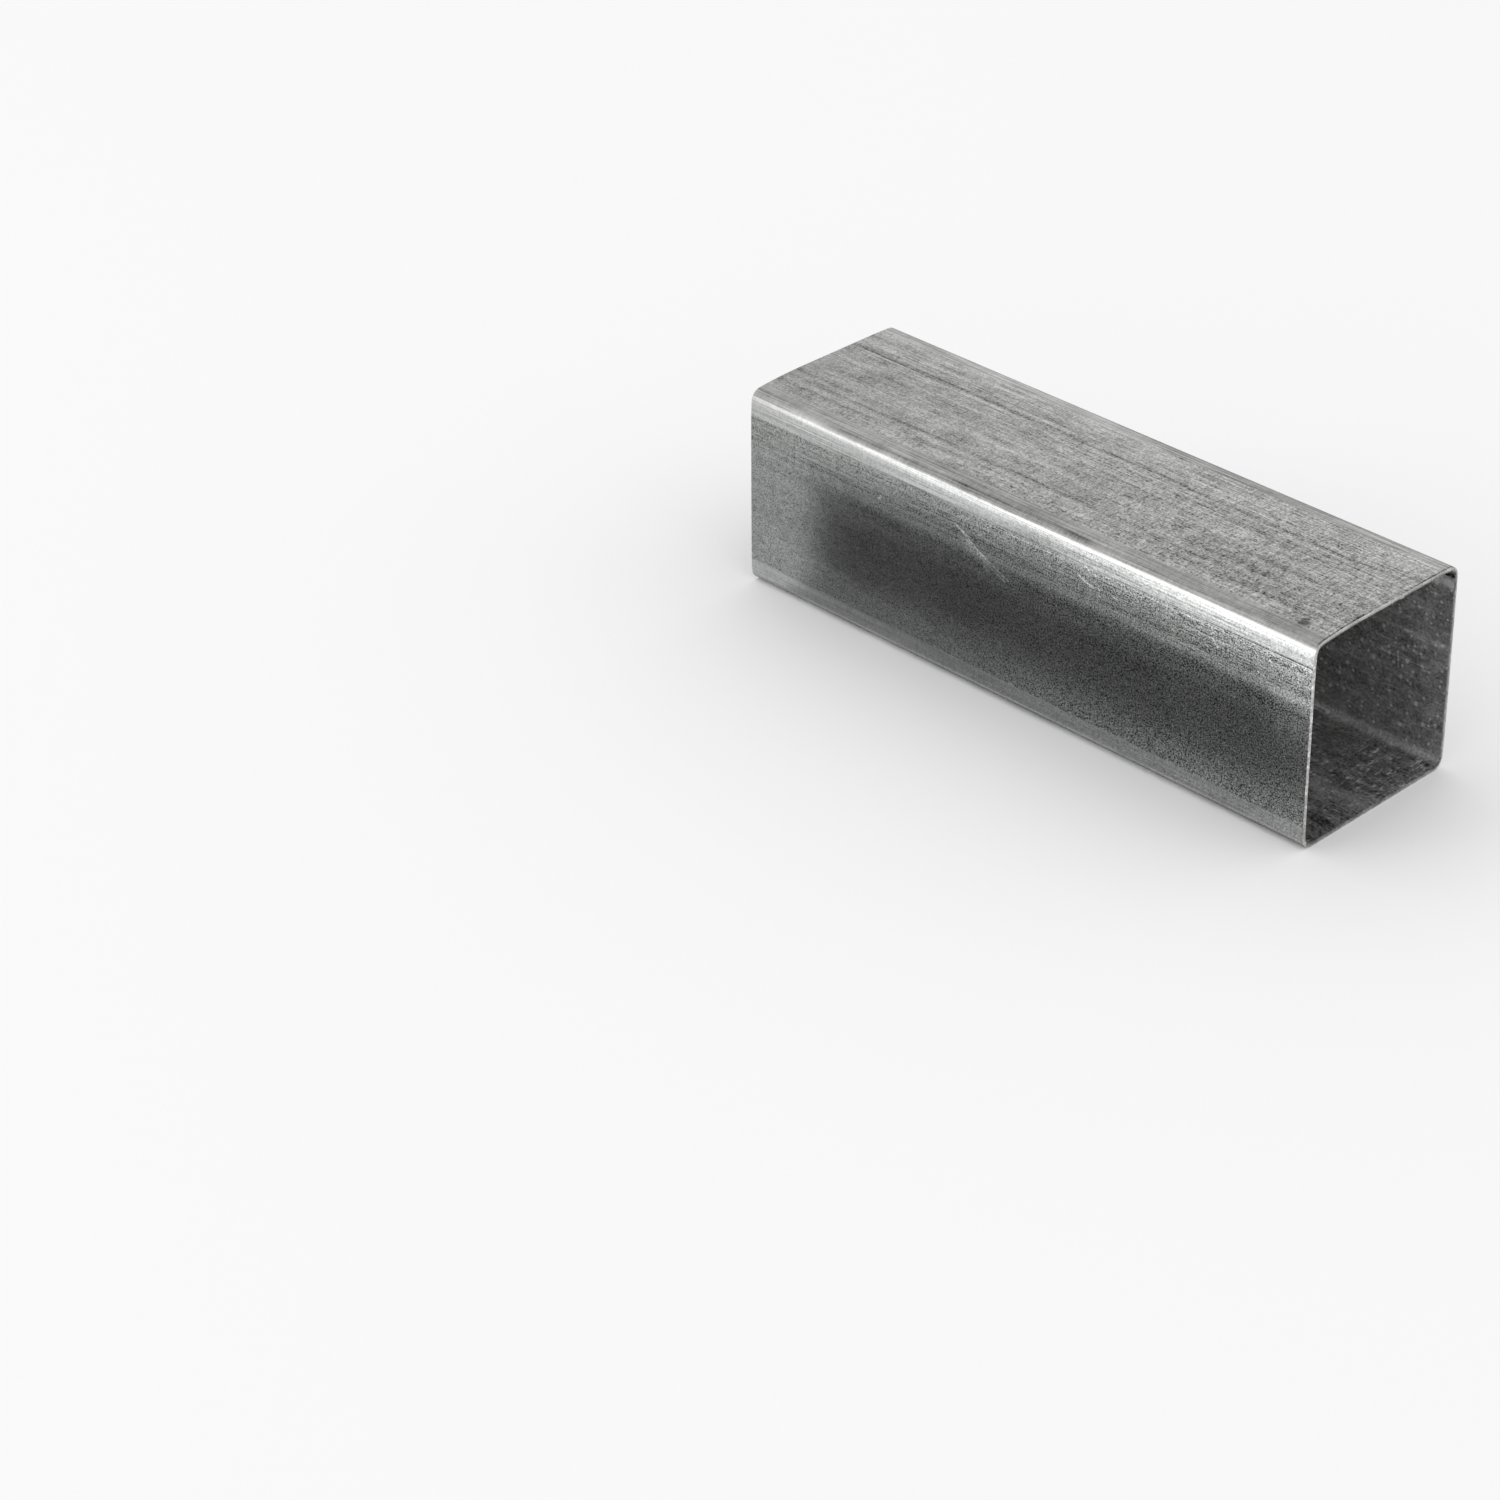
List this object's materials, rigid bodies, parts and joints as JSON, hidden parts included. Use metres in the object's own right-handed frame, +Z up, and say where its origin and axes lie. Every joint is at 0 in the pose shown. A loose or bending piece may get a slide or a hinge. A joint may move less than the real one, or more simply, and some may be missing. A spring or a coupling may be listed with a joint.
{
  "type": "galvanized square steel tube",
  "caption": "Short sawn length of cold-rolled, zinc-coated square steel tube, open at both ends, with rounded bends and an inner weld bead.",
  "frame": {"origin": "middle of the tube's underside, on the surface it lies on", "axes": "+X along the tube towards the end that the picture shows open, +Y across the tube, +Z up"},
  "size_m": [0.27, 0.08, 0.08],
  "materials": {
    "galvanized_steel": "zinc-coated, mottled grey with fine dark specks, burnished lengthwise by the rolls, bare steel on the sawn ends"
  },
  "bodies": {
    "root": {"square_tube": "galvanized_steel"}
  },
  "joints": []
}
